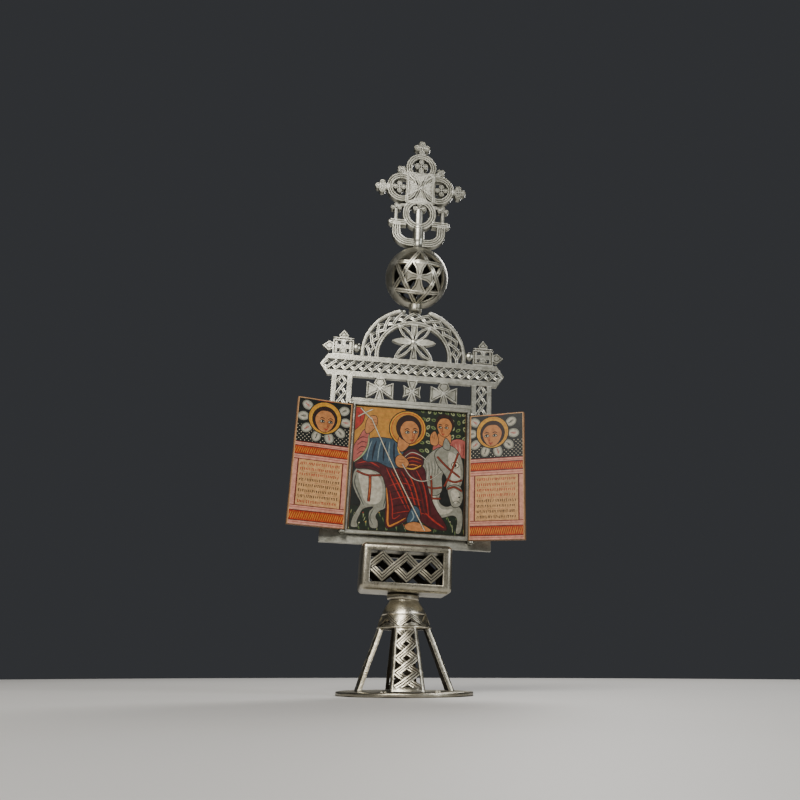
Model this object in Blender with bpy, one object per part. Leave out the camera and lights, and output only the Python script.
"""Cast white-metal altar on an openwork stand, with a painted panel between two hinged wings.

Metres, +Z up. The front faces -Y, and the origin is the centre of the base disc's underside.
Everything above the stand's collar leans to its own left, as the joint there was set askew.
"""
from math import acos, atan2, cos, hypot, pi, radians, sin, sqrt

import bpy
from mathutils import Matrix, Vector
from mathutils.geometry import delaunay_2d_cdt
import bmesh

MM = 0.001

# Clearances
SEAT_GAP = 0.3 * MM            # between pieces that rest on each other
PIN_CLEARANCE = 0.35 * MM      # round a hinge pin in its eyelets
WING_CLEARANCE = 0.45 * MM     # between a wing and what it closes on or turns beside

# Base disc
BASE_RADIUS = 41.2 * MM
BASE_THICKNESS = 2.4 * MM
BASE_EDGE = 0.7 * MM
BASE_SEGMENTS = 36

# Stand: four pierced legs, a zigzag skirt, a dome and a collar, cast in one
LEG_FOOT_RADIUS = 30.3 * MM
LEG_TOP_RADIUS = 16.9 * MM
LEG_HEIGHT = 35.3 * MM
LEG_FOOT_WIDTH = 20.2 * MM
LEG_TOP_WIDTH = 13.6 * MM
LEG_RIM = 2.1 * MM
LEG_CROSSINGS = 4
LEG_STRAND = 3.1 * MM
LEG_SWING = 0.86               # of a strand's middle line, as a share of the way to the rim
LEG_FOOT_BAND = 2.2 * MM       # plain metal under and over the pattern
LEG_HEAD_BAND = 0.8 * MM
LEG_COUNT = 4
STAND_WALL = 2.6 * MM
STAND_TURN = radians(-1.8)
SKIRT_HEIGHT = 9.0 * MM
SKIRT_TOP_RADIUS = 13.5 * MM
SKIRT_REPEATS = 6
DOME_HEIGHT = 7.2 * MM
DOME_TOP_RADIUS = 9.2 * MM
COLLAR_RADIUS = 10.0 * MM
COLLAR_HEIGHT = 4.5 * MM
STAND_SEGMENTS = 28

# Lean of all that stands on the collar
LEAN = radians(2.6)
LEAN_PIVOT_HEIGHT = 70.0 * MM

# Hollow block with a knotwork window in front and behind
BLOCK_WIDTH = 56.4 * MM
BLOCK_DEPTH = 34.0 * MM
BLOCK_HEIGHT = 28.9 * MM
BLOCK_WALL = 2.8 * MM
BLOCK_EDGE = 1.6 * MM
WINDOW_WIDTH = 44.7 * MM
WINDOW_HEIGHT = 19.2 * MM
WINDOW_LOOPS = 3
WINDOW_STRAND = 4.3 * MM

# Plaque: one cast plate, pierced all over, with a casing round the painted panel
PLATE_THICKNESS = 3.0 * MM
FRAME_WIDTH = 110.4 * MM
POST_WIDTH = 14.0 * MM
POST_RIM = 3.5 * MM
POST_PITCH = 8.3 * MM
POST_STRAND = 2.3 * MM
BOTTOM_RAIL = 8.5 * MM
OPENING_WIDTH = 75.5 * MM
OPENING_HEIGHT = 83.6 * MM
CASING_RIM = 2.8 * MM
CASING_FRONT = 4.5 * MM        # how far the casing stands in front of the plate's middle
CASING_BACK = 2.6 * MM
CASING_TOP_BAR = 5.2 * MM
CROSS_ROW_HEIGHT = 16.0 * MM
CROSSBAR_HEIGHT = 15.9 * MM
CROSSBAR_WIDTH = 117.6 * MM    # along the flat edges
CROSSBAR_TIP = 5.2 * MM        # how far each pointed end stands out
CROSSBAR_RAIL = 4.05 * MM
CROSSBAR_END_RIM = 1.6 * MM
CROSSBAR_LOOPS = 20
CROSSBAR_STRAND = 2.3 * MM

# Row of three crosses under the crossbar
SIDE_CROSS_PLACE = 22.0 * MM
SIDE_CROSS_WIDTH = 18.6 * MM
SIDE_CROSS_ARM = 12.4 * MM     # height of the flared side arms
MIDDLE_CROSS_WIDTH = 12.3 * MM
MIDDLE_CROSS_ARM = 8.9 * MM
CROSS_WAIST = 2.6 * MM

# Arch on the crossbar, its outer rim cut away at the crown where the ball sits
ARCH_RADIUS = 37.2 * MM
ARCH_INNER_RADIUS = 23.9 * MM
ARCH_RIM = 3.2 * MM
ARCH_STILT = 2.5 * MM
ARCH_LOOPS = 11
ARCH_STRAND = 2.4 * MM
ARCH_CUT_HALF_WIDTH = 10.9 * MM
ARCH_STEPS = 20

# Rosette under the arch
ROSETTE_HEIGHT = 13.4 * MM     # of its centre above the crossbar
ROSETTE_SIDE_PETAL = 15.4 * MM
ROSETTE_SOLID_WIDTH = 5.0 * MM
ROSETTE_LOOP_WIDTH = 6.4 * MM
ROSETTE_LOOP_STRAND = 2.1 * MM

# Little castle with pointed knobs at each end of the crossbar
CASTLE_PLACE = 49.0 * MM
CASTLE_WIDTH = 14.6 * MM
CASTLE_HEIGHT = 12.6 * MM
CASTLE_STEP = 1.7 * MM
CASTLE_HOLE = 2.7 * MM
CASTLE_HOLE_PITCH = 5.8 * MM
KNOB_LENGTH = 7.2 * MM
KNOB_WIDTH = 7.4 * MM
TOP_KNOB_HEIGHT = 5.8 * MM
BEAD_WIDTH = 4.6 * MM
BEAD_HEIGHT = 7.0 * MM

# Painted panel
PANEL_THICKNESS = 4.0 * MM
PANEL_RECESS = 1.7 * MM        # behind the casing's front edge

# Hinged wings
WING_WIDTH = 37.0 * MM
WING_THICKNESS = 3.2 * MM
WING_EDGE = 0.4 * MM
LEFT_WING_REST = radians(12.5)   # swung forward from lying level with the plate
RIGHT_WING_REST = radians(27.5)
LEFT_WING_RISE = -1.1 * MM       # the wings hang lower than the opening, one more than the other
RIGHT_WING_RISE = -3.3 * MM
HINGE_OUTSIDE = 0.55 * MM        # of the hinge line beside the casing
PIN_RADIUS = 0.7 * MM
PIN_END = 0.8 * MM               # how far a pin stands out of its eyelets
EYELET_RADIUS = 2.1 * MM
EYELET_THICKNESS = 1.4 * MM
PIN_SIDES = 12
WING_ROUND_SIDES = 6             # of a wing's rounded inner edge

# Pierced hollow ball with a star on its front and back
BALL_RADIUS = 22.5 * MM
BALL_WALL = 2.0 * MM
BALL_STEM_RADIUS = 4.4 * MM
BALL_STEM_HEIGHT = 4.9 * MM
BALL_FLAT_RADIUS = 5.9 * MM    # of the seat for the cross
STAR_DIP = radians(25.0)       # the stars look down by this much
STAR_REACH = radians(58.6)     # from a star's centre to its points
STAR_STRAND = radians(7.4)
STAR_RIM = 0.95                # where the pierced field ends, as a share of the reach
BALL_SEGMENTS = 20
BALL_RINGS = 10

# Cross on the ball
CROSS_THICKNESS = 4.4 * MM
FOOT_RADIUS = 5.2 * MM
FOOT_NECK_RADIUS = 3.6 * MM
SHAFT_RADIUS = 4.1 * MM
CENTRE_ABOVE_FOOT = 54.4 * MM  # the cross's centre above its foot
CENTRE_WIDTH = 22.2 * MM
CENTRE_TALL = 27.6 * MM
CENTRE_RIM = 2.2 * MM
RING_RADIUS = 11.7 * MM
RING_HOLE = 7.0 * MM
RING_STRETCH = 1.09            # the rings are a little taller than wide
SIDE_RING_PLACE = 13.9 * MM
TOP_RING_PLACE = 18.7 * MM
LOW_RING_PLACE = 22.4 * MM
LOW_RING_RADIUS = 12.7 * MM
LOW_RING_HOLE = 7.7 * MM
FINIAL_LOBE = 2.6 * MM
FINIAL_REACH = 3.3 * MM        # from a quatrefoil's centre to its lobes' centres
SMALL_LOBE = 1.6 * MM
SMALL_REACH = 2.0 * MM
INNER_LOBE = 2.1 * MM
INNER_REACH = 3.1 * MM
INNER_SIDE_PLACE = 16.0 * MM
INNER_TOP_PLACE = 20.1 * MM
LOW_BAR_HALF = 21.4 * MM
LOW_BAR_THICKNESS = 5.0 * MM
LOW_BAR_DROP = 30.9 * MM       # of the bars' middle below the cross's centre
STIRRUP_HALF = 16.7 * MM       # to the middle of each side of the stirrup
STIRRUP_WIDTH = 6.5 * MM
LOW_POST_PLACE = 17.6 * MM
LOW_POST_WIDTH = 2.9 * MM
LOW_POST_HEIGHT = 11.0 * MM    # above the low bars' middle
POST_LOBES_HEIGHT = 12.4 * MM
LINK_OUTER_HEIGHT = 13.5 * MM
LINK_INNER_HEIGHT = 15.2 * MM
LINK_WIDTH = 2.6 * MM
TOP_FINIAL_PLACE = 37.1 * MM   # finials, from the cross's centre
SIDE_FINIAL_PLACE = 28.9 * MM
SIDE_FINIAL_DROP = 0.6 * MM
CORNER_FINIAL_PLACE = 15.1 * MM
CORNER_FINIAL_HEIGHT = 15.6 * MM
CORNER_LOBE = 2.2 * MM
CORNER_LOBE_PLACE = 12.9 * MM
CORNER_LOBE_HEIGHT = 13.3 * MM
CENTRE_ARM_ROOT = 1.8 * MM
CENTRE_SIDE_ARM = 15.5 * MM    # width of an arm's flared end
CENTRE_UPRIGHT_ARM = 12.0 * MM
INNER_SHAFT_WIDTH = 4.8 * MM
INNER_SHAFT_HEAD = 4.6 * MM    # above the low ring's middle
STIRRUP_RISE = 7.0 * MM        # of the stirrup's middle line above the foot
STIRRUP_CORNER = 10.5 * MM
FOOT_FLARE_HEIGHT = 4.2 * MM
FOOT_NECK_HEIGHT = 8.0 * MM
SHAFT_START = 12.0 * MM

# Heights, each from the piece below it
STAND_BOTTOM = BASE_THICKNESS + SEAT_GAP
LEG_TOP = STAND_BOTTOM + LEG_HEIGHT
SKIRT_TOP = LEG_TOP + SKIRT_HEIGHT
DOME_TOP = SKIRT_TOP + DOME_HEIGHT
COLLAR_TOP = DOME_TOP + COLLAR_HEIGHT
BLOCK_BOTTOM = COLLAR_TOP + SEAT_GAP
BLOCK_TOP = BLOCK_BOTTOM + BLOCK_HEIGHT
PLAQUE_BOTTOM = BLOCK_TOP + SEAT_GAP
OPENING_BOTTOM = PLAQUE_BOTTOM + BOTTOM_RAIL
OPENING_TOP = OPENING_BOTTOM + OPENING_HEIGHT
CASING_TOP = OPENING_TOP + CASING_TOP_BAR
CROSSBAR_BOTTOM = CASING_TOP + CROSS_ROW_HEIGHT
CROSSBAR_TOP = CROSSBAR_BOTTOM + CROSSBAR_HEIGHT
ARCH_SPRING = CROSSBAR_TOP + ARCH_STILT
STEM_BOTTOM = ARCH_SPRING + ARCH_RADIUS - ARCH_RIM + SEAT_GAP
BALL_CENTRE = STEM_BOTTOM + BALL_STEM_HEIGHT + BALL_RADIUS
BALL_TOP = BALL_CENTRE + sqrt(BALL_RADIUS ** 2 - BALL_FLAT_RADIUS ** 2)
FOOT_BOTTOM = BALL_TOP + SEAT_GAP
CROSS_CENTRE = FOOT_BOTTOM + CENTRE_ABOVE_FOOT

# Depths, measured from the plate's middle
PLATE_FRONT = -PLATE_THICKNESS / 2
PLATE_BACK = PLATE_THICKNESS / 2
PANEL_FRONT = -CASING_FRONT + PANEL_RECESS
HINGE_DEPTH = -CASING_FRONT - WING_CLEARANCE - WING_THICKNESS / 2
HINGE_PLACE = OPENING_WIDTH / 2 + CASING_RIM + HINGE_OUTSIDE

for old in list(bpy.data.objects):
    bpy.data.objects.remove(old)


# Flat shapes, as lists of (x, z) points

def rectangle(left, right, bottom, top):
    return [(left, bottom), (right, bottom), (right, top), (left, top)]


def ellipse(x, z, half_width, half_height, sides, turn=0.0):
    turns = [turn + 2 * pi * i / sides for i in range(sides)]
    return [(x + half_width * cos(a), z + half_height * sin(a)) for a in turns]


def moved(shape, x, z, turn=0.0):
    return [(x + u * cos(turn) - v * sin(turn), z + u * sin(turn) + v * cos(turn)) for u, v in shape]


def mirrored(shape):
    return [(-x, z) for x, z in shape]


def strip(path, width):
    """A band of even width along an open path, mitred at the corners."""
    sides = ([], [])
    for i, (x, z) in enumerate(path):
        before = path[max(i - 1, 0)]
        after = path[min(i + 1, len(path) - 1)]
        ways = []
        for start, end in ((before, (x, z)), ((x, z), after)):
            length = hypot(end[0] - start[0], end[1] - start[1])
            if length > 0:
                ways.append(((end[0] - start[0]) / length, (end[1] - start[1]) / length))
        normal_x = -sum(way[1] for way in ways)
        normal_z = sum(way[0] for way in ways)
        size = hypot(normal_x, normal_z)
        normal_x, normal_z = normal_x / size, normal_z / size
        reach = width / 2 / (normal_x * -ways[0][1] + normal_z * ways[0][0])
        sides[0].append((x + normal_x * reach, z + normal_z * reach))
        sides[1].append((x - normal_x * reach, z - normal_z * reach))
    return sides[0] + sides[1][::-1]


def zigzag_pair(start, end, half_swing, loops):
    """The middle lines of two strands that cross between loops, as (along, across) points."""
    step = (end - start) / loops / 2
    first = [(start + i * step, half_swing * sin(i * pi / 2)) for i in range(2 * loops + 1)]
    return first, [(along, -across) for along, across in first]


def swing_inside(half_channel, strand, half_pitch):
    """How far a strand's middle line swings so that its outer edge just sinks into the rails."""
    slope = half_channel / half_pitch
    return half_channel - 0.28 * strand * sqrt(1 + slope * slope)


def diamond_between(swing, half_pitch, strand):
    """Half the width and half the height of the hole that two crossing strands leave."""
    slant = hypot(swing, half_pitch)
    return swing - strand / 2 * slant / half_pitch, half_pitch - strand / 2 * slant / swing


def diamond(x, z, half_width, half_height):
    return [(x - half_width, z), (x, z - half_height), (x + half_width, z), (x, z + half_height)]


def petal(length, width, steps=5):
    """A pointed oval from the origin along +X."""
    upper = [(length * i / steps, width / 2 * sin(pi * i / steps) ** 0.8) for i in range(1, steps)]
    return [(0.0, 0.0)] + [(x, -z) for x, z in upper] + [(length, 0.0)] + upper[::-1]


def flared_arm(length, root, end, notch=0.0):
    """A cross arm along +X that widens to its end, which may be notched."""
    return [(0.0, -root / 2), (length, -end / 2), (length - notch, 0.0), (length, end / 2), (0.0, root / 2)]


def inside(shape, x, z):
    """Whether a point lies in a flat shape, by the even-odd rule."""
    crossings = 0
    for (ax, az), (bx, bz) in zip(shape, shape[1:] + shape[:1]):
        if (az > z) != (bz > z) and x < ax + (z - az) * (bx - ax) / (bz - az):
            crossings += 1
    return crossings % 2 == 1


def is_metal(strokes, bounds, x, z):
    """Whether the last shape laid down over a point was metal and not a hole."""
    for (shape, metal), (left, right, low, high) in zip(reversed(strokes), reversed(bounds)):
        if left < x < right and low < z < high and inside(shape, x, z):
            return metal
    return False


def painted_region(strokes):
    """A flat mesh of the metal that is left when shapes are laid down one over another."""
    points = []
    edges = []
    for shape, _ in strokes:
        first = len(points)
        count = len(shape)
        edges.extend((first + i, first + (i + 1) % count) for i in range(count))
        points.extend(Vector((x / MM, z / MM)) for x, z in shape)
    found, _, triangles, _, _, _ = delaunay_2d_cdt(points, edges, [], 0, 0.0005)
    bounds = [(min(x for x, _ in shape), max(x for x, _ in shape),
               min(z for _, z in shape), max(z for _, z in shape)) for shape, _ in strokes]
    mesh = bmesh.new()
    corners = {}
    for triangle in triangles:
        middle = sum((found[index] for index in triangle), Vector((0.0, 0.0))) * MM / 3
        if is_metal(strokes, bounds, middle.x, middle.y):
            for index in triangle:
                if index not in corners:
                    corners[index] = mesh.verts.new((found[index].x * MM, found[index].y * MM, 0.0))
            verts = [corners[index] for index in triangle]
            if mesh.faces.get(verts) is None:
                mesh.faces.new(verts)
    mesh.normal_update()
    return mesh


def tidied(mesh):
    """Merges triangles that lie in one plane and points that lie on one line."""
    bmesh.ops.dissolve_limit(mesh, angle_limit=radians(1.0), verts=mesh.verts, edges=mesh.edges)
    return mesh


def thickened(name, mesh, near, far):
    """A closed solid between two mappings of the flat mesh's points into space."""
    solid = bmesh.new()
    near_points = {v: solid.verts.new(near(v.co.x, v.co.y)) for v in mesh.verts}
    far_points = {v: solid.verts.new(far(v.co.x, v.co.y)) for v in mesh.verts}
    for face in mesh.faces:
        solid.faces.new([near_points[v] for v in face.verts])
        solid.faces.new([far_points[v] for v in reversed(face.verts)])
    for edge in mesh.edges:
        if len(edge.link_faces) == 1:
            loop = edge.link_loops[0]
            a, b = loop.vert, loop.link_loop_next.vert
            solid.faces.new((near_points[b], near_points[a], far_points[a], far_points[b]))
    mesh.free()
    bmesh.ops.recalc_face_normals(solid, faces=solid.faces)
    return finished(name, solid)


def finished(name, mesh):
    data = bpy.data.meshes.new(name)
    mesh.to_mesh(data)
    mesh.free()
    piece = bpy.data.objects.new(name, data)
    bpy.context.scene.collection.objects.link(piece)
    return piece


def flat_plate(name, strokes, front, back):
    """A plate pierced as painted, between two depths."""
    mesh = tidied(painted_region(strokes))
    return thickened(name, mesh, lambda x, z: (x, front, z), lambda x, z: (x, back, z))


def box(name, left, right, front, back, bottom, top):
    mesh = bmesh.new()
    size = Matrix.Diagonal((right - left, back - front, top - bottom, 1.0))
    place = Matrix.Translation(((left + right) / 2, (front + back) / 2, (bottom + top) / 2))
    bmesh.ops.create_cube(mesh, size=1.0, matrix=place @ size)
    return finished(name, mesh)


def turned(name, profile, segments):
    """A solid turned round Z from (radius, height) points that run from axis to axis."""
    mesh = bmesh.new()
    rings = []
    for radius, height in profile:
        if radius == 0:
            rings.append([mesh.verts.new((0.0, 0.0, height))])
            continue
        turns = [2 * pi * (i + 0.5) / segments for i in range(segments)]
        rings.append([mesh.verts.new((radius * cos(a), radius * sin(a), height)) for a in turns])
    for low, high in zip(rings, rings[1:]):
        for i in range(segments):
            j = (i + 1) % segments
            corners = [low[i % len(low)], low[j % len(low)], high[j % len(high)], high[i % len(high)]]
            mesh.faces.new(list(dict.fromkeys(corners)))
    bmesh.ops.recalc_face_normals(mesh, faces=mesh.faces)
    return finished(name, mesh)


def combine(piece, other, operation):
    """Adds or cuts with another object, which stays as a guide."""
    change = piece.modifiers.new(other.name, "BOOLEAN")
    change.operation = operation
    change.object = other
    change.solver = "EXACT"
    other.hide_render = True
    other.display_type = "WIRE"


def eased(piece, width, segments=1):
    bevel = piece.modifiers.new("eased edges", "BEVEL")
    bevel.width = width
    bevel.segments = segments
    bevel.limit_method = "ANGLE"
    bevel.angle_limit = radians(40)


def metal_finish(name, colour, metallic, roughness):
    material = bpy.data.materials.new(name)
    material.use_nodes = True
    shader = material.node_tree.nodes["Principled BSDF"]
    shader.inputs["Base Color"].default_value = (*colour, 1.0)
    shader.inputs["Metallic"].default_value = metallic
    shader.inputs["Roughness"].default_value = roughness
    return material


def dress(piece, colour, metallic=1.0, roughness=0.35, smooth=False):
    piece.data.materials.append(metal_finish(piece.name, colour, metallic, roughness))
    if smooth:
        piece.data.shade_smooth()
        piece.data.set_sharp_from_angle(angle=radians(35))


def axis_empty(name, parent=None, place=(0.0, 0.0, 0.0), turn=(0.0, 0.0, 0.0)):
    empty = bpy.data.objects.new(name, None)
    bpy.context.scene.collection.objects.link(empty)
    empty.parent = parent
    empty.location = place
    empty.rotation_euler = turn
    return empty


SILVER = (0.63, 0.62, 0.55)
WARM_SILVER = (0.60, 0.57, 0.47)
WOOD = (0.34, 0.20, 0.11)

lean_axis = axis_empty("lean_axis", place=(0.0, 0.0, LEAN_PIVOT_HEIGHT), turn=(0.0, LEAN, 0.0))


def leaning(*pieces):
    """Hangs pieces drawn upright on the axis that leans them."""
    for piece in pieces:
        piece.parent = lean_axis
        piece.location.z -= LEAN_PIVOT_HEIGHT


def lean_point(x, y, z):
    """Where the lean takes a point drawn upright."""
    pivot = Vector((0.0, 0.0, LEAN_PIVOT_HEIGHT))
    return pivot + Matrix.Rotation(LEAN, 3, "Y") @ (Vector((x, y, z)) - pivot)


# Base disc

def base_disc():
    profile = [(0.0, 0.0), (BASE_RADIUS - BASE_EDGE, 0.0), (BASE_RADIUS, BASE_EDGE),
               (BASE_RADIUS, BASE_THICKNESS - BASE_EDGE), (BASE_RADIUS - BASE_EDGE, BASE_THICKNESS),
               (0.0, BASE_THICKNESS)]
    disc = turned("base_disc", profile, BASE_SEGMENTS)
    dress(disc, WARM_SILVER, smooth=True)


# Stand

def stand_radius(height):
    """The stand's outer radius along its legs and skirt."""
    if height <= LEG_TOP:
        return LEG_FOOT_RADIUS + (LEG_TOP_RADIUS - LEG_FOOT_RADIUS) * (height - STAND_BOTTOM) / LEG_HEIGHT
    return LEG_TOP_RADIUS + (SKIRT_TOP_RADIUS - LEG_TOP_RADIUS) * (height - LEG_TOP) / SKIRT_HEIGHT


def leg_half_width(height):
    share = (height - STAND_BOTTOM) / LEG_HEIGHT
    return (LEG_FOOT_WIDTH + (LEG_TOP_WIDTH - LEG_FOOT_WIDTH) * share) / 2


def gaps_between_legs():
    """Four wedges that leave the legs standing."""
    low = STAND_BOTTOM - BASE_THICKNESS
    high = LEG_TOP - SEAT_GAP
    reach = 2 * LEG_FOOT_RADIUS
    mesh = bmesh.new()
    for quarter in range(LEG_COUNT):
        turn = Matrix.Rotation(quarter * pi / 2, 3, "Z")
        corners = []
        for height in (low, high):
            near = leg_half_width(height)
            outline = ((near, near), (reach, near), (reach, reach), (near, reach))
            corners.append([mesh.verts.new(turn @ Vector((x, y, height))) for x, y in outline])
        mesh.faces.new(corners[0])
        mesh.faces.new(corners[1])
        for i in range(4):
            j = (i + 1) % 4
            mesh.faces.new((corners[0][i], corners[0][j], corners[1][j], corners[1][i]))
    bmesh.ops.recalc_face_normals(mesh, faces=mesh.faces)
    return finished("gaps_between_legs", mesh)


def leg_swing(height):
    """How far a strand's middle line swings out at a height on a leg."""
    return (leg_half_width(height) - LEG_RIM) * LEG_SWING


def leg_knotwork():
    """All the holes left by two strands that cross down the front leg."""
    low, pitch = leg_pattern()
    high = low + LEG_CROSSINGS * pitch
    past = 1.0 * MM
    bottom, top = leg_half_width(low) - LEG_RIM, leg_half_width(high) - LEG_RIM
    strokes = [([(-bottom, low), (bottom, low), (top, high), (-top, high)], True)]
    for side in (1, -1):
        path = [(side * leg_swing(low), low - past)]
        for i in range(1, 2 * LEG_CROSSINGS):
            height = low + i * pitch / 2
            path.append((side * leg_swing(height) * cos(i * pi / 2), height))
        path.append((side * leg_swing(high), high + past))
        strokes.append((strip(path, LEG_STRAND), False))
    return strokes


def leg_diamonds():
    """Only the holes down the middle, for the plainer legs."""
    low, pitch = leg_pattern()
    strokes = []
    for i in range(LEG_CROSSINGS):
        height = low + (i + 0.5) * pitch
        half_width, half_height = diamond_between(leg_swing(height), pitch / 2, LEG_STRAND)
        strokes.append((diamond(0.0, height, half_width, half_height), True))
    return strokes


def leg_pattern():
    """Where a leg's pattern starts, and its pitch."""
    low = STAND_BOTTOM + LEG_FOOT_BAND
    return low, (LEG_TOP - LEG_HEAD_BAND - low) / LEG_CROSSINGS


def leg_holes():
    """Holes through each of the legs, the front one with the most."""
    cutters = []
    for quarter in range(LEG_COUNT):
        turn = Matrix.Rotation(quarter * 2 * pi / LEG_COUNT, 3, "Z")
        near = lambda x, z, turn=turn: turn @ Vector((x, -2 * LEG_FOOT_RADIUS, z))
        far = lambda x, z, turn=turn: turn @ Vector((x, -LEG_TOP_RADIUS / 4, z))
        region = painted_region(leg_diamonds() if quarter else leg_knotwork())
        cutters.append(thickened("leg_holes_%d" % quarter, region, near, far))
    return cutters


def skirt_holes():
    """Triangles and chevrons in turn round the skirt, as (turn, height) shapes."""
    step = 2 * pi / SKIRT_REPEATS
    half = step * 0.19
    top = SKIRT_TOP - 0.6 * MM
    strokes = []
    for i in range(SKIRT_REPEATS):
        middle = i * step - pi / 2 - step * 0.27
        strokes.append(([(middle - half, top), (middle, top - 3.2 * MM), (middle + half, top)], True))
        peak = middle + step / 2
        low = LEG_TOP + 2.6 * MM
        strokes.append(([(peak - 1.25 * half, low), (peak, low + 3.9 * MM), (peak + 1.25 * half, low),
                         (peak, low + 1.9 * MM)], True))
    radius = SKIRT_TOP_RADIUS     # turns are drawn as arc lengths while the region is worked out
    drawn = [([(turn * radius, height) for turn, height in shape], keep) for shape, keep in strokes]
    apex = Vector((0.0, 0.0, (LEG_TOP + SKIRT_TOP) / 2))

    def at(share):
        def place(x, z):
            point = Vector((radius * cos(x / radius), radius * sin(x / radius), z))
            return apex + (point - apex) * share
        return place
    return thickened("skirt_holes", painted_region(drawn), at(1.6), at(0.5))


def stand():
    neck = COLLAR_HEIGHT * 0.16
    lip = COLLAR_HEIGHT * 0.2
    outer = [(0.0, STAND_BOTTOM), (LEG_FOOT_RADIUS, STAND_BOTTOM), (LEG_TOP_RADIUS, LEG_TOP),
             (SKIRT_TOP_RADIUS, SKIRT_TOP),
             (0.62 * SKIRT_TOP_RADIUS + 0.38 * DOME_TOP_RADIUS, SKIRT_TOP + 0.5 * DOME_HEIGHT),
             (DOME_TOP_RADIUS, DOME_TOP), (DOME_TOP_RADIUS, DOME_TOP + neck),
             (COLLAR_RADIUS, DOME_TOP + 2 * neck), (COLLAR_RADIUS, COLLAR_TOP - lip),
             (COLLAR_RADIUS - lip, COLLAR_TOP), (0.0, COLLAR_TOP)]
    body = turned("pedestal", outer, STAND_SEGMENTS)
    for vert in body.data.vertices:
        if vert.co.z > DOME_TOP + neck * 1.5:
            vert.co = lean_point(*vert.co)
    hollow_top = DOME_TOP - STAND_WALL
    inner = [(0.0, STAND_BOTTOM - SEAT_GAP),
             (stand_radius(STAND_BOTTOM - SEAT_GAP) - STAND_WALL, STAND_BOTTOM - SEAT_GAP),
             (LEG_TOP_RADIUS - STAND_WALL, LEG_TOP), (SKIRT_TOP_RADIUS - STAND_WALL, SKIRT_TOP),
             (DOME_TOP_RADIUS - STAND_WALL, hollow_top), (0.0, hollow_top)]
    combine(body, turned("pedestal_hollow", inner, STAND_SEGMENTS // 2), "DIFFERENCE")
    combine(body, gaps_between_legs(), "DIFFERENCE")
    for cutter in leg_holes():
        combine(body, cutter, "DIFFERENCE")
    combine(body, skirt_holes(), "DIFFERENCE")
    for piece in [body] + [change.object for change in body.modifiers]:
        piece.rotation_euler.z = STAND_TURN
    dress(body, WARM_SILVER, smooth=True)


# Block

def window_holes():
    """The gaps round two strands that cross in the window."""
    middle = (BLOCK_BOTTOM + BLOCK_TOP) / 2
    half_pitch = WINDOW_WIDTH / WINDOW_LOOPS / 2
    swing = swing_inside(WINDOW_HEIGHT / 2, WINDOW_STRAND, half_pitch) - 1.2 * MM
    strokes = [(rectangle(-WINDOW_WIDTH / 2, WINDOW_WIDTH / 2, middle - WINDOW_HEIGHT / 2,
                          middle + WINDOW_HEIGHT / 2), True)]
    past = 1.5 * MM
    for path in zigzag_pair(-WINDOW_WIDTH / 2, WINDOW_WIDTH / 2, swing, WINDOW_LOOPS):
        slope = path[1][1] / half_pitch
        first = (path[0][0] - past, path[0][1] - past * slope)
        last = (path[-1][0] + past, path[-1][1] + past * -slope * cos(pi * WINDOW_LOOPS))
        line = [first] + path[1:-1] + [last]
        line = [(x, middle + z) for x, z in line]
        strokes.append((strip(line, WINDOW_STRAND), False))
    return thickened("window_holes", painted_region(strokes),
                     lambda x, z: (x, -BLOCK_DEPTH, z), lambda x, z: (x, BLOCK_DEPTH, z))


def block():
    body = box("block", -BLOCK_WIDTH / 2, BLOCK_WIDTH / 2, -BLOCK_DEPTH / 2, BLOCK_DEPTH / 2,
               BLOCK_BOTTOM, BLOCK_TOP)
    eased(body, BLOCK_EDGE, 2)
    hollow = box("block_hollow", -BLOCK_WIDTH / 2 + BLOCK_WALL, BLOCK_WIDTH / 2 - BLOCK_WALL,
                 -BLOCK_DEPTH / 2 + BLOCK_WALL, BLOCK_DEPTH / 2 - BLOCK_WALL,
                 BLOCK_BOTTOM + BLOCK_WALL, BLOCK_TOP - BLOCK_WALL)
    holes = window_holes()
    combine(body, hollow, "DIFFERENCE")
    combine(body, holes, "DIFFERENCE")
    leaning(body, hollow, holes)
    dress(body, WARM_SILVER, smooth=True)


# Plaque

def post_strokes():
    """A row of diamonds down each post, the holes between two strands that cross."""
    half_channel = POST_WIDTH / 2 - POST_RIM
    low = OPENING_BOTTOM
    high = CROSSBAR_BOTTOM
    count = round((high - low) / POST_PITCH)
    pitch = (high - low) / count
    half_width, half_height = diamond_between(half_channel, pitch / 2, POST_STRAND)
    place = (FRAME_WIDTH - POST_WIDTH) / 2
    return [(diamond(side * place, low + (i + 0.5) * pitch, half_width, half_height), False)
            for side in (-1, 1) for i in range(count)]


def frame_strokes():
    half = FRAME_WIDTH / 2
    inner = half - POST_WIDTH
    ease = 0.5 * MM               # the plate's own opening is this much wider than the casing's
    return [(rectangle(-half, half, PLAQUE_BOTTOM, CROSSBAR_BOTTOM + CROSSBAR_RAIL / 2), True),
            (rectangle(-inner, inner, CASING_TOP - 0.8 * MM, CROSSBAR_BOTTOM), False),
            (rectangle(-OPENING_WIDTH / 2 - ease, OPENING_WIDTH / 2 + ease,
                       OPENING_BOTTOM - ease, OPENING_TOP + ease), False)]


def arch_line(radius, foot, steps=ARCH_STEPS):
    """An arch's edge from its left foot over the crown to its right foot."""
    turns = [pi * i / steps for i in range(steps + 1)]
    arc = [(-radius * cos(turn), ARCH_SPRING + radius * sin(turn)) for turn in turns]
    return [(-radius, foot)] + arc + [(radius, foot)]


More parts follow.
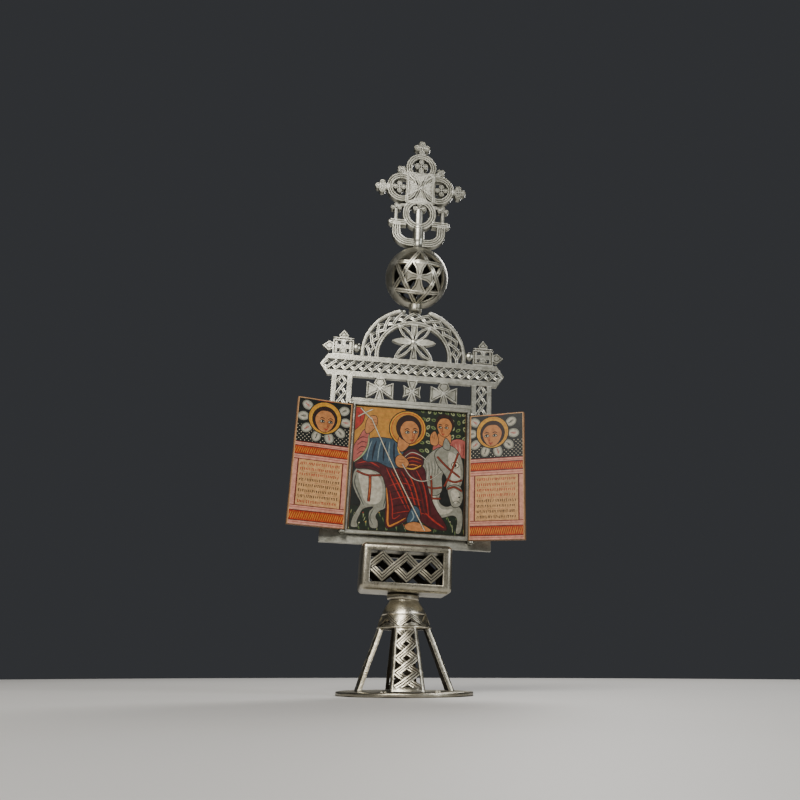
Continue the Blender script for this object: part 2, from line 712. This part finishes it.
def arch_strokes():
    foot = CROSSBAR_TOP - CROSSBAR_RAIL / 2
    outer_channel = ARCH_RADIUS - ARCH_RIM
    inner_channel = ARCH_INNER_RADIUS + ARCH_RIM
    middle = (outer_channel + inner_channel) / 2
    half_pitch = pi * middle / ARCH_LOOPS / 2
    swing = swing_inside((outer_channel - inner_channel) / 2, ARCH_STRAND, half_pitch)
    band = arch_line(ARCH_RADIUS, foot) + arch_line(ARCH_INNER_RADIUS, foot)[::-1]
    channel = arch_line(outer_channel, foot) + arch_line(inner_channel, foot)[::-1]
    strokes = [(band, True), (channel, False)]
    for path in zigzag_pair(0.0, pi, swing, ARCH_LOOPS):
        line = [(-(middle + across) * cos(turn), ARCH_SPRING + (middle + across) * sin(turn))
                for turn, across in path]
        line = [(line[0][0], foot)] + line + [(line[-1][0], foot)]
        strokes.append((strip(line, ARCH_STRAND), True))
    cap = [(-ARCH_CUT_HALF_WIDTH - ARCH_RIM, ARCH_SPRING + ARCH_RADIUS + 2 * ARCH_RIM)]
    cap += [point for point in arch_line(outer_channel, foot) if abs(point[0]) < ARCH_CUT_HALF_WIDTH
            and point[1] > ARCH_SPRING]
    cap += [(ARCH_CUT_HALF_WIDTH + ARCH_RIM, ARCH_SPRING + ARCH_RADIUS + 2 * ARCH_RIM)]
    return strokes + [(cap, False)]


def rosette_strokes():
    centre = CROSSBAR_TOP + ROSETTE_HEIGHT
    up = ARCH_SPRING + ARCH_INNER_RADIUS + ARCH_RIM / 3 - centre
    strokes = []
    for turn, length, width in ((90, up, 4.7 * MM), (-90, ROSETTE_HEIGHT + 1.0 * MM, 4.6 * MM)):
        arm = flared_arm(length, 1.6 * MM, width)
        strokes.append((moved(arm, 0.0, centre, radians(turn)), True))
    side_petal = petal(ROSETTE_SIDE_PETAL, ROSETTE_SOLID_WIDTH)
    for turn in (0, 180):
        strokes.append((moved(side_petal, 0.0, centre, radians(turn)), True))
    for turn in (47, 133, -46, -134):
        reach = ROSETTE_HEIGHT / abs(sin(radians(turn))) * (0.97 if turn < 0 else 0.86)
        loop = petal(reach, ROSETTE_LOOP_WIDTH, 6)
        hole = moved(petal(reach * 0.62, ROSETTE_LOOP_WIDTH - 2 * ROSETTE_LOOP_STRAND), reach * 0.22, 0.0)
        strokes.append((moved(loop, 0.0, centre, radians(turn)), True))
        strokes.append((moved(hole, 0.0, centre, radians(turn)), False))
    strokes.append((ellipse(0.0, centre, 2.3 * MM, 2.3 * MM, 10), True))
    return strokes


def crossbar_strokes():
    """A bar with pointed ends and a row of diamonds, the holes between two strands that cross."""
    middle = (CROSSBAR_BOTTOM + CROSSBAR_TOP) / 2
    half = CROSSBAR_WIDTH / 2
    half_tall = CROSSBAR_HEIGHT / 2
    tip = half + CROSSBAR_TIP
    bar = [(-tip, middle), (-half, middle - half_tall), (half, middle - half_tall), (tip, middle),
           (half, middle + half_tall), (-half, middle + half_tall)]
    pitch = 2 * (tip - CROSSBAR_END_RIM) / CROSSBAR_LOOPS
    half_height, half_width = diamond_between(half_tall - CROSSBAR_RAIL, pitch / 2, CROSSBAR_STRAND)
    strokes = [(bar, True)]
    for i in range(CROSSBAR_LOOPS):
        place = (i + 0.5 - CROSSBAR_LOOPS / 2) * pitch
        strokes.append((diamond(place, middle, half_width, half_height), False))
    return strokes


def side_cross(place):
    """A cross with a lozenge head, two flared arms and a foot on the bar."""
    foot = CASING_TOP
    head = CROSSBAR_BOTTOM
    centre = foot + 0.52 * (head - foot)
    arm = flared_arm(SIDE_CROSS_WIDTH / 2, CROSS_WAIST, SIDE_CROSS_ARM)
    arm = [(x, z - 1.2 * MM * x / (SIDE_CROSS_WIDTH / 2)) for x, z in arm]
    lozenge = [(0.0, -1.0 * MM), (4.4 * MM, 3.9 * MM), (2.6 * MM, head - centre + 0.6 * MM),
               (-2.6 * MM, head - centre + 0.6 * MM), (-4.4 * MM, 3.9 * MM)]
    down = flared_arm(centre - foot + 1.5 * MM, CROSS_WAIST, 7.2 * MM)
    return [(moved(arm, place, centre), True), (moved(mirrored(arm), place, centre), True),
            (moved(lozenge, place, centre), True), (moved(down, place, centre, -pi / 2), True)]


def middle_cross():
    foot = CASING_TOP
    head = CROSSBAR_BOTTOM
    centre = (foot + head) / 2
    strokes = []
    for turn in (0, 180):
        arm = flared_arm(MIDDLE_CROSS_WIDTH / 2, CROSS_WAIST, MIDDLE_CROSS_ARM, 0.7 * MM)
        strokes.append((moved(arm, 0.0, centre, radians(turn)), True))
    for turn in (90, -90):
        arm = flared_arm(CROSS_ROW_HEIGHT / 2 + 1.5 * MM, CROSS_WAIST, 7.6 * MM)
        strokes.append((moved(arm, 0.0, centre, radians(turn)), True))
    return strokes


def castle_strokes(side):
    base = CROSSBAR_TOP
    half = CASTLE_WIDTH / 2
    top = base + CASTLE_HEIGHT
    place = side * CASTLE_PLACE
    upper = half - CASTLE_STEP
    body = [(-half, base - 1.0 * MM), (half, base - 1.0 * MM), (half, top - CASTLE_STEP),
            (upper, top - CASTLE_STEP * 0.9), (upper, top), (-upper, top),
            (-upper, top - CASTLE_STEP * 0.9), (-half, top - CASTLE_STEP)]
    crown = [(-2.6 * MM, top - 0.5 * MM), (2.6 * MM, top - 0.5 * MM), (3.5 * MM, top + 1.4 * MM),
             (0.0, top + TOP_KNOB_HEIGHT), (-3.5 * MM, top + 1.4 * MM)]
    height = base + CASTLE_HEIGHT * 0.45
    knob = [(half - 0.8 * MM, height - 2.2 * MM), (half + KNOB_LENGTH * 0.38, height - KNOB_WIDTH / 2),
            (half + KNOB_LENGTH, height), (half + KNOB_LENGTH * 0.38, height + KNOB_WIDTH / 2),
            (half - 0.8 * MM, height + 2.2 * MM)]
    outward = knob if side > 0 else mirrored(knob)
    gap = CASTLE_PLACE - half - ARCH_RADIUS
    bead = ellipse(-side * (half + gap / 2), height + 0.3 * MM,
                   BEAD_WIDTH / 2 + 0.6 * MM, BEAD_HEIGHT / 2, 10)
    strokes =[(moved(shape, place, 0.0), True) for shape in (body, crown, outward, bead)]
    for x in (-0.5, 0.5):
        for z in (0.22, 0.68):
            x_place = place + x * CASTLE_HOLE_PITCH
            z_place = base + z * CASTLE_HEIGHT
            hole = CASTLE_HOLE / 2
            strokes.append((rectangle(x_place - hole, x_place + hole,
                                      z_place - hole, z_place + hole), False))
    return strokes


def eyelet(name, side, height):
    """A lug that stands out of the plate beside the casing, for a hinge pin."""
    place = side * HINGE_PLACE
    return box(name, place - EYELET_RADIUS, place + EYELET_RADIUS,
               HINGE_DEPTH - EYELET_RADIUS, PLATE_FRONT + PLATE_THICKNESS / 4,
               height, height + EYELET_THICKNESS)


def wire(name, radius, low, high):
    """A round bar or a bore along a hinge line."""
    return turned(name, [(0.0, low), (radius, low), (radius, high), (0.0, high)], PIN_SIDES)


def wing_span(rise):
    """Bottom and top of a wing, between its eyelets."""
    return OPENING_BOTTOM + rise, OPENING_TOP + rise


def pin_span(rise):
    """Bottom and top of a hinge pin, whose ends stand out of the eyelets."""
    low, high = wing_span(rise)
    past = SEAT_GAP + EYELET_THICKNESS + PIN_END
    return low - past, high + past


def plaque():
    strokes = frame_strokes() + post_strokes() + arch_strokes() + rosette_strokes()
    for side in (-1, 1):
        strokes += side_cross(side * SIDE_CROSS_PLACE)
    strokes += middle_cross() + crossbar_strokes() + castle_strokes(-1) + castle_strokes(1)
    body = flat_plate("plaque", strokes, PLATE_FRONT, PLATE_BACK)
    half = OPENING_WIDTH / 2
    outer = half + CASING_RIM
    rim = flat_plate("casing_rim", [
        (rectangle(-outer, outer, OPENING_BOTTOM - CASING_RIM, CASING_TOP), True),
        (rectangle(-half, half, OPENING_BOTTOM, OPENING_TOP), False)], -CASING_FRONT, CASING_BACK)
    combine(body, rim, "UNION")
    parts = [body, rim]
    for side, rise, word in ((-1, LEFT_WING_RISE, "left"), (1, RIGHT_WING_RISE, "right")):
        low, high = wing_span(rise)
        below = eyelet("low_eyelet_" + word, side, low - SEAT_GAP - EYELET_THICKNESS)
        above = eyelet("high_eyelet_" + word, side, high + SEAT_GAP)
        for lug in (below, above):
            combine(body, lug, "UNION")
            parts.append(lug)
        bore = wire("bore_" + word, PIN_RADIUS + PIN_CLEARANCE, *pin_span(rise))
        bore.location = (side * HINGE_PLACE, HINGE_DEPTH, 0.0)
        combine(body, bore, "DIFFERENCE")
        parts.append(bore)
    leaning(*parts)
    dress(body, SILVER)


# Painted panel and wings

def icon_panel():
    panel = box("icon_panel", -OPENING_WIDTH / 2 + SEAT_GAP, OPENING_WIDTH / 2 - SEAT_GAP,
                PANEL_FRONT, PANEL_FRONT + PANEL_THICKNESS,
                OPENING_BOTTOM + SEAT_GAP, OPENING_TOP - SEAT_GAP)
    leaning(panel)
    dress(panel, WOOD, metallic=0.0, roughness=0.6)


def prism(name, outline, low, high):
    """A solid of even height over a plan outline of (x, y) points."""
    mesh = bmesh.new()
    base = [mesh.verts.new((x, y, low)) for x, y in outline]
    top = [mesh.verts.new((x, y, high)) for x, y in outline]
    mesh.faces.new(base)
    mesh.faces.new(top)
    for i in range(len(outline)):
        j = (i + 1) % len(outline)
        mesh.faces.new((base[i], base[j], top[j], top[i]))
    bmesh.ops.recalc_face_normals(mesh, faces=mesh.faces)
    return finished(name, mesh)


def wing(word, side, rest, rise):
    """A board that turns on a pin in its rounded inner edge, drawn round the hinge line."""
    low, high = wing_span(rise)
    place = (side * HINGE_PLACE, HINGE_DEPTH, -LEAN_PIVOT_HEIGHT)
    hinge = axis_empty(word + "_hinge_axis", lean_axis, place, (0.0, 0.0, -side * rest))
    half = WING_THICKNESS / 2
    turns = [pi / 2 + pi * i / WING_ROUND_SIDES for i in range(WING_ROUND_SIDES + 1)]
    outline = [(side * half * cos(turn), half * sin(turn)) for turn in turns]
    far = side * (WING_WIDTH - half)
    board = prism(word + "_wing", outline + [(far, -half), (far, half)], low, high)
    eased(board, WING_EDGE)
    bore = wire(word + "_wing_bore", PIN_RADIUS + SEAT_GAP, low - PIN_END, high + PIN_END)
    combine(board, bore, "DIFFERENCE")
    pin = wire(word + "_hinge_pin", PIN_RADIUS, *pin_span(rise))
    for piece in (board, bore, pin):
        piece.parent = hinge
    dress(board, WOOD, metallic=0.0, roughness=0.6)
    dress(pin, SILVER, smooth=True)


# Ball

def sphere_profile(radius, centre, top_cut, bottom_cut, rings):
    """A circle's right half from below to above, flattened where the cuts are."""
    start = -acos(bottom_cut / radius) if bottom_cut else -pi / 2
    end = acos(top_cut / radius) if top_cut else pi / 2
    turns = [start + (end - start) * i / rings for i in range(rings + 1)]
    arc = [(radius * cos(turn), centre + radius * sin(turn)) for turn in turns]
    if not bottom_cut:
        arc[0] = (0.0, arc[0][1])
    if not top_cut:
        arc[-1] = (0.0, arc[-1][1])
    return arc


def star_strokes():
    """The gaps round a six-pointed star with a flared cross inside, reach 1."""
    strand = STAR_STRAND / STAR_REACH
    points = [(cos(pi / 2 + i * pi / 3), sin(pi / 2 + i * pi / 3)) for i in range(6)]
    strokes = [(ellipse(0.0, 0.0, STAR_RIM, STAR_RIM, 18), True)]
    for first in (0, 1):
        corners = [points[first], points[first + 2], points[(first + 4) % 6]]
        for a, b in zip(corners, corners[1:] + corners[:1]):
            past = 0.16
            ends = [(a[0] + (a[0] - b[0]) * past, a[1] + (a[1] - b[1]) * past),
                    (b[0] + (b[0] - a[0]) * past, b[1] + (b[1] - a[1]) * past)]
            strokes.append((strip(ends, strand), False))
    for turn, length, width in ((90, 0.5, 0.5), (-90, 0.5, 0.52), (0, 0.44, 0.46), (180, 0.44, 0.46)):
        strokes.append((moved(flared_arm(length, 0.13, width), 0.0, 0.0, radians(turn)), False))
    return [([(x * MM, z * MM) for x, z in shape], keep) for shape, keep in strokes]


def star_holes(name, facing):
    """The star's gaps as wedges that point at the ball's middle."""
    tilt = Matrix.Rotation(-STAR_DIP, 3, "X")
    turn = Matrix.Rotation(0.0 if facing < 0 else pi, 3, "Z")

    def at(radius):
        def place(u, v):
            u, v = u / MM, v / MM
            away = hypot(u, v) * STAR_REACH
            way = atan2(v, u)
            point = Vector((sin(away) * cos(way), -cos(away), sin(away) * sin(way)))
            return turn @ (tilt.inverted() @ point) * radius + Vector((0.0, 0.0, BALL_CENTRE))
        return place
    return thickened(name, painted_region(star_strokes()), at(BALL_RADIUS * 1.1), at(BALL_RADIUS * 0.6))


def ball():
    outer = sphere_profile(BALL_RADIUS, BALL_CENTRE, BALL_FLAT_RADIUS, BALL_STEM_RADIUS, BALL_RINGS)
    profile = [(0.0, STEM_BOTTOM), (BALL_STEM_RADIUS, STEM_BOTTOM)] + outer + [(0.0, outer[-1][1])]
    body = turned("ball", profile, BALL_SEGMENTS)
    inner = sphere_profile(BALL_RADIUS - BALL_WALL, BALL_CENTRE, 0.0, 0.0, BALL_RINGS // 2)
    hollow = turned("ball_hollow", inner, BALL_SEGMENTS * 3 // 4)
    holes = [star_holes("front_star", -1), star_holes("back_star", 1)]
    for cutter in [hollow] + holes:
        combine(body, cutter, "DIFFERENCE")
    leaning(body, hollow, *holes)
    dress(body, SILVER, smooth=True)


# Cross

def quatrefoil(x, z, lobe, reach, turns=(0, 90, 180, 270), tall=1.0):
    """Round lobes about a middle, stretched upwards where tall is over 1."""
    sides = 6
    heart = hypot(reach - lobe / 2, lobe * sin(pi / 3))
    strokes = [(ellipse(x, z, heart, heart * tall, 4, pi / 4), True)]
    for turn in turns:
        strokes.append((ellipse(x + reach * cos(radians(turn)), z + reach * tall * sin(radians(turn)),
                                lobe, lobe * tall, sides, radians(turn)), True))
    return strokes


def ring_strokes(x, z, radius, hole):
    return [(ellipse(x, z, radius, radius * RING_STRETCH, 20), True)], \
           [(ellipse(x, z, hole, hole * RING_STRETCH, 12), False)]


def centre_strokes():
    """A framed cross with four flared arms."""
    strokes = []
    for inset, metal in ((0.0, True), (CENTRE_RIM, False)):
        half_width = CENTRE_WIDTH / 2 - inset
        half_tall = CENTRE_TALL / 2 - inset
        strokes.append((rectangle(-half_width, half_width,
                                  CROSS_CENTRE - half_tall, CROSS_CENTRE + half_tall), metal))
    for turns, size, width in (((0, 180), CENTRE_WIDTH, CENTRE_SIDE_ARM),
                               ((90, -90), CENTRE_TALL, CENTRE_UPRIGHT_ARM)):
        arm = flared_arm(size / 2 - CENTRE_RIM / 2, CENTRE_ARM_ROOT, width)
        strokes += [(moved(arm, 0.0, CROSS_CENTRE, radians(turn)), True) for turn in turns]
    return strokes


def stirrup_path():
    """Middle line of the U-shaped band from the left bar round the foot to the right bar."""
    high = CROSS_CENTRE - LOW_BAR_DROP
    low = FOOT_BOTTOM + STIRRUP_RISE
    tall = STIRRUP_CORNER * 0.8
    path = [(-STIRRUP_HALF, high)]
    for i in range(5):
        turn = pi + pi / 2 * i / 4
        path.append((-STIRRUP_HALF + STIRRUP_CORNER * (1 + cos(turn)), low + tall * (1 + sin(turn))))
    return path + mirrored(path[::-1])


def lower_strokes():
    bar = CROSS_CENTRE - LOW_BAR_DROP
    half = LOW_BAR_THICKNESS / 2
    strokes = [(strip(stirrup_path(), STIRRUP_WIDTH), True),
               (rectangle(-LOW_BAR_HALF, LOW_BAR_HALF, bar - half, bar + half), True),
               (rectangle(-RING_RADIUS, RING_RADIUS, bar - half - 0.5 * MM, bar + 2 * half), False)]
    for side in (-1, 1):
        place = side * LOW_POST_PLACE
        knob = ellipse(side * LOW_BAR_HALF, bar, 2.0 * MM, half + 0.4 * MM, 8, pi / 8)
        post = rectangle(place - LOW_POST_WIDTH / 2, place + LOW_POST_WIDTH / 2, bar, bar + LOW_POST_HEIGHT)
        strokes += [(knob, True), (post, True)]
        strokes += quatrefoil(place, bar + POST_LOBES_HEIGHT, SMALL_LOBE * 1.1, SMALL_REACH * 1.25,
                              (0, 90, 180))
        link = strip([(place - side * 1.0 * MM, bar + LINK_OUTER_HEIGHT),
                      (side * LOW_RING_RADIUS * 0.8, bar + LINK_INNER_HEIGHT)], LINK_WIDTH)
        strokes.append((link, True))
    return strokes


def cross_strokes():
    rings = []
    holes = []
    inner = []
    places = [(-SIDE_RING_PLACE, 0.0, RING_RADIUS, RING_HOLE),
              (SIDE_RING_PLACE, 0.0, RING_RADIUS, RING_HOLE),
              (0.0, TOP_RING_PLACE, RING_RADIUS, RING_HOLE),
              (0.0, -LOW_RING_PLACE, LOW_RING_RADIUS, LOW_RING_HOLE)]
    for x, z, radius, hole in places:
        ring, gap = ring_strokes(x, CROSS_CENTRE + z, radius, hole)
        rings += ring
        holes += gap
    for x, z, tall in ((-INNER_SIDE_PLACE, 0.0, 1.0), (INNER_SIDE_PLACE, 0.0, 1.0),
                       (0.0, INNER_TOP_PLACE, 1.25)):
        inner += quatrefoil(x, CROSS_CENTRE + z, INNER_LOBE, INNER_REACH, tall=tall)
    shaft_head = CROSS_CENTRE - LOW_RING_PLACE + INNER_SHAFT_HEAD
    inner += quatrefoil(0.0, shaft_head, INNER_LOBE, INNER_REACH, (0, 180, 90))
    inner.append((rectangle(-INNER_SHAFT_WIDTH / 2, INNER_SHAFT_WIDTH / 2,
                            FOOT_BOTTOM + FOOT_NECK_HEIGHT, shaft_head), True))
    finials = quatrefoil(0.0, CROSS_CENTRE + TOP_FINIAL_PLACE, FINIAL_LOBE * 1.08, FINIAL_REACH * 1.1)
    for side in (-1, 1):
        finials += quatrefoil(side * SIDE_FINIAL_PLACE, CROSS_CENTRE - SIDE_FINIAL_DROP,
                              FINIAL_LOBE, FINIAL_REACH * 0.95)
        finials += quatrefoil(side * CORNER_FINIAL_PLACE, CROSS_CENTRE + CORNER_FINIAL_HEIGHT,
                              SMALL_LOBE, SMALL_REACH, (45, 135, 225, 315))
        finials.append((ellipse(side * CORNER_LOBE_PLACE, CROSS_CENTRE + CORNER_LOBE_HEIGHT,
                                CORNER_LOBE, CORNER_LOBE, 6), True))
    return lower_strokes() + finials + rings + holes + centre_strokes() + inner


def top_cross():
    front = -CROSS_THICKNESS / 2
    body = flat_plate("top_cross", cross_strokes(), front, -front)
    high = CROSS_CENTRE - LOW_BAR_DROP - 4.0 * MM
    profile = [(0.0, FOOT_BOTTOM), (FOOT_RADIUS, FOOT_BOTTOM),
               (FOOT_NECK_RADIUS, FOOT_BOTTOM + FOOT_FLARE_HEIGHT),
               (FOOT_NECK_RADIUS, FOOT_BOTTOM + FOOT_NECK_HEIGHT),
               (SHAFT_RADIUS, FOOT_BOTTOM + SHAFT_START),
               (SHAFT_RADIUS * 0.95, high), (0.0, high)]
    shaft = turned("cross_shaft", profile, 16)
    combine(body, shaft, "UNION")
    leaning(body, shaft)
    dress(body, SILVER)


base_disc()
stand()
block()
plaque()
icon_panel()
wing("left", -1, LEFT_WING_REST, LEFT_WING_RISE)
wing("right", 1, RIGHT_WING_REST, RIGHT_WING_RISE)
ball()
top_cross()
